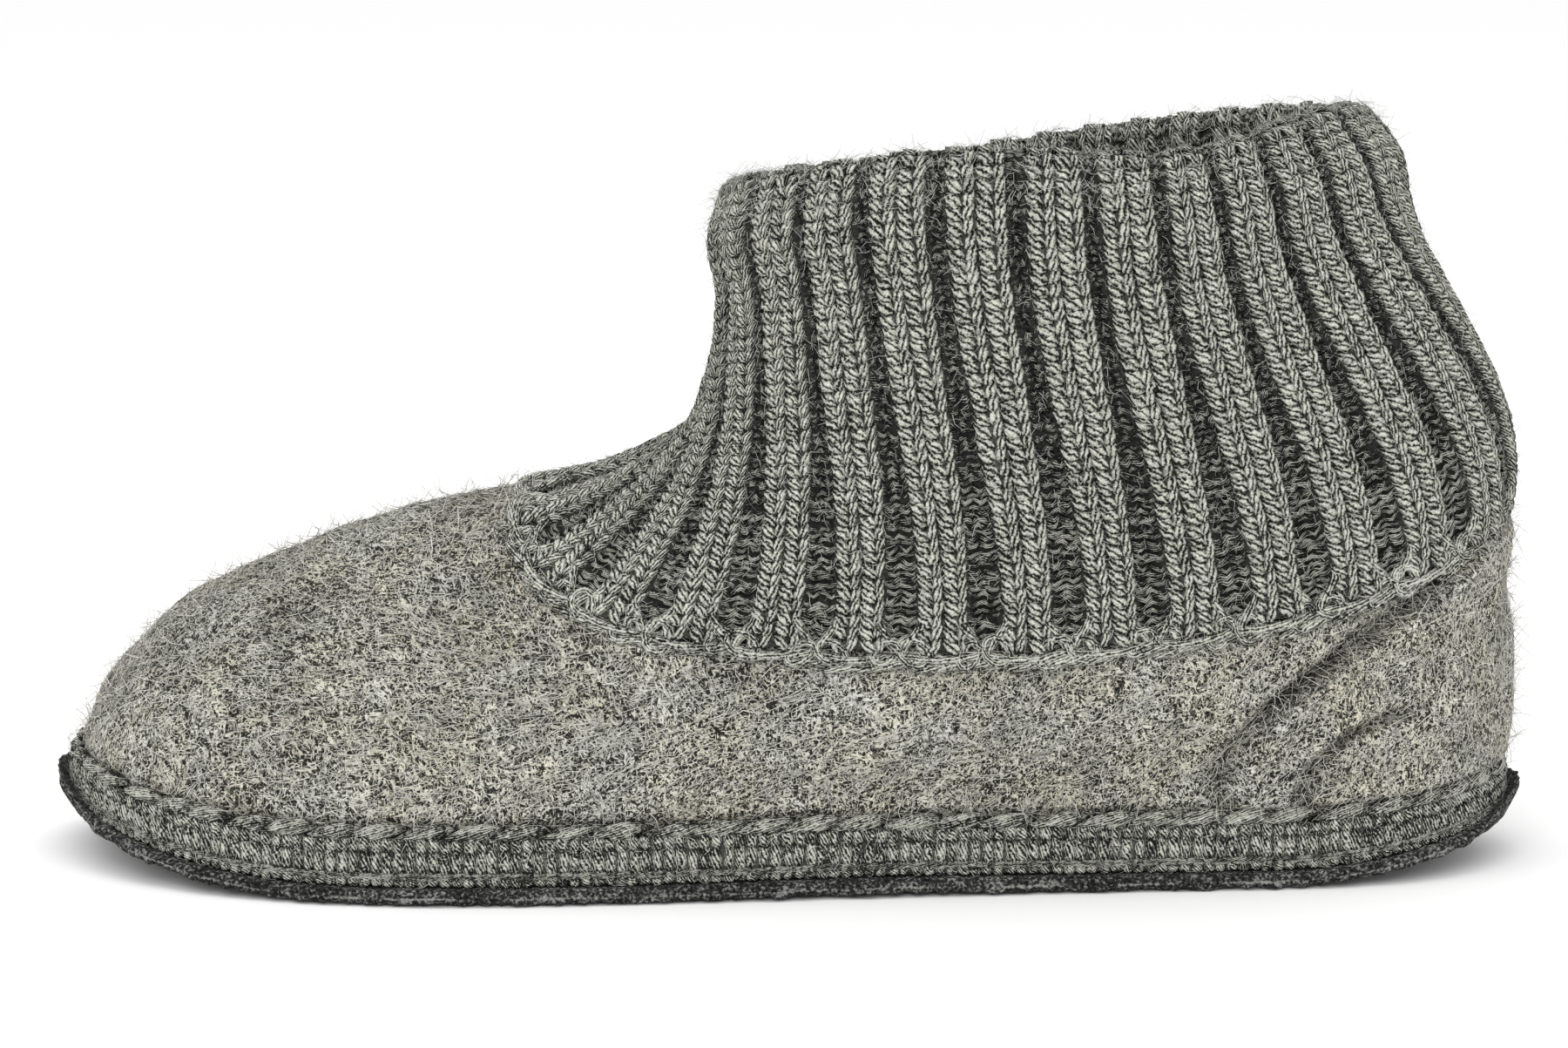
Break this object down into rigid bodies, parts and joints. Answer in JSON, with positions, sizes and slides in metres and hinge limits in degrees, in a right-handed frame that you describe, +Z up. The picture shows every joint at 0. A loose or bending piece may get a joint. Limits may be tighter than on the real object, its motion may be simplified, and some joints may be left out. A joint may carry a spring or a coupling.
{
  "type": "hut slipper",
  "caption": "Ankle-high house slipper: boiled-wool upper with heel counter, ribbed knitted cuff, stitched and braided edge binding, felt insole and a thin flat sole curled at toe and heel.",
  "frame": {"origin": "middle of the bounding box, on the floor under the sole", "axes": "+X from toe to heel, -Y to the outer side of the left foot, +Z up"},
  "size_m": [0.27, 0.0944, 0.1379],
  "materials": {
    "outsole": "charcoal, matt, finely pebbled, slightly ragged edge",
    "binding": "grey wool, rows of upright stitches over two flat strands",
    "binding_braid": "grey wool, plaited chain",
    "insole": "grey wool felt, matt",
    "upper": "mottled grey-beige boiled wool with curled fibres",
    "heel_counter": "mottled grey-beige boiled wool, pressed edge",
    "cuff": "grey wool, two-by-two rib knit"
  },
  "bodies": {
    "root": {"outsole": "outsole", "binding": "binding", "binding_braid": "binding_braid", "insole": "insole", "upper": "upper", "heel_counter": "heel_counter", "cuff": "cuff"}
  },
  "joints": []
}
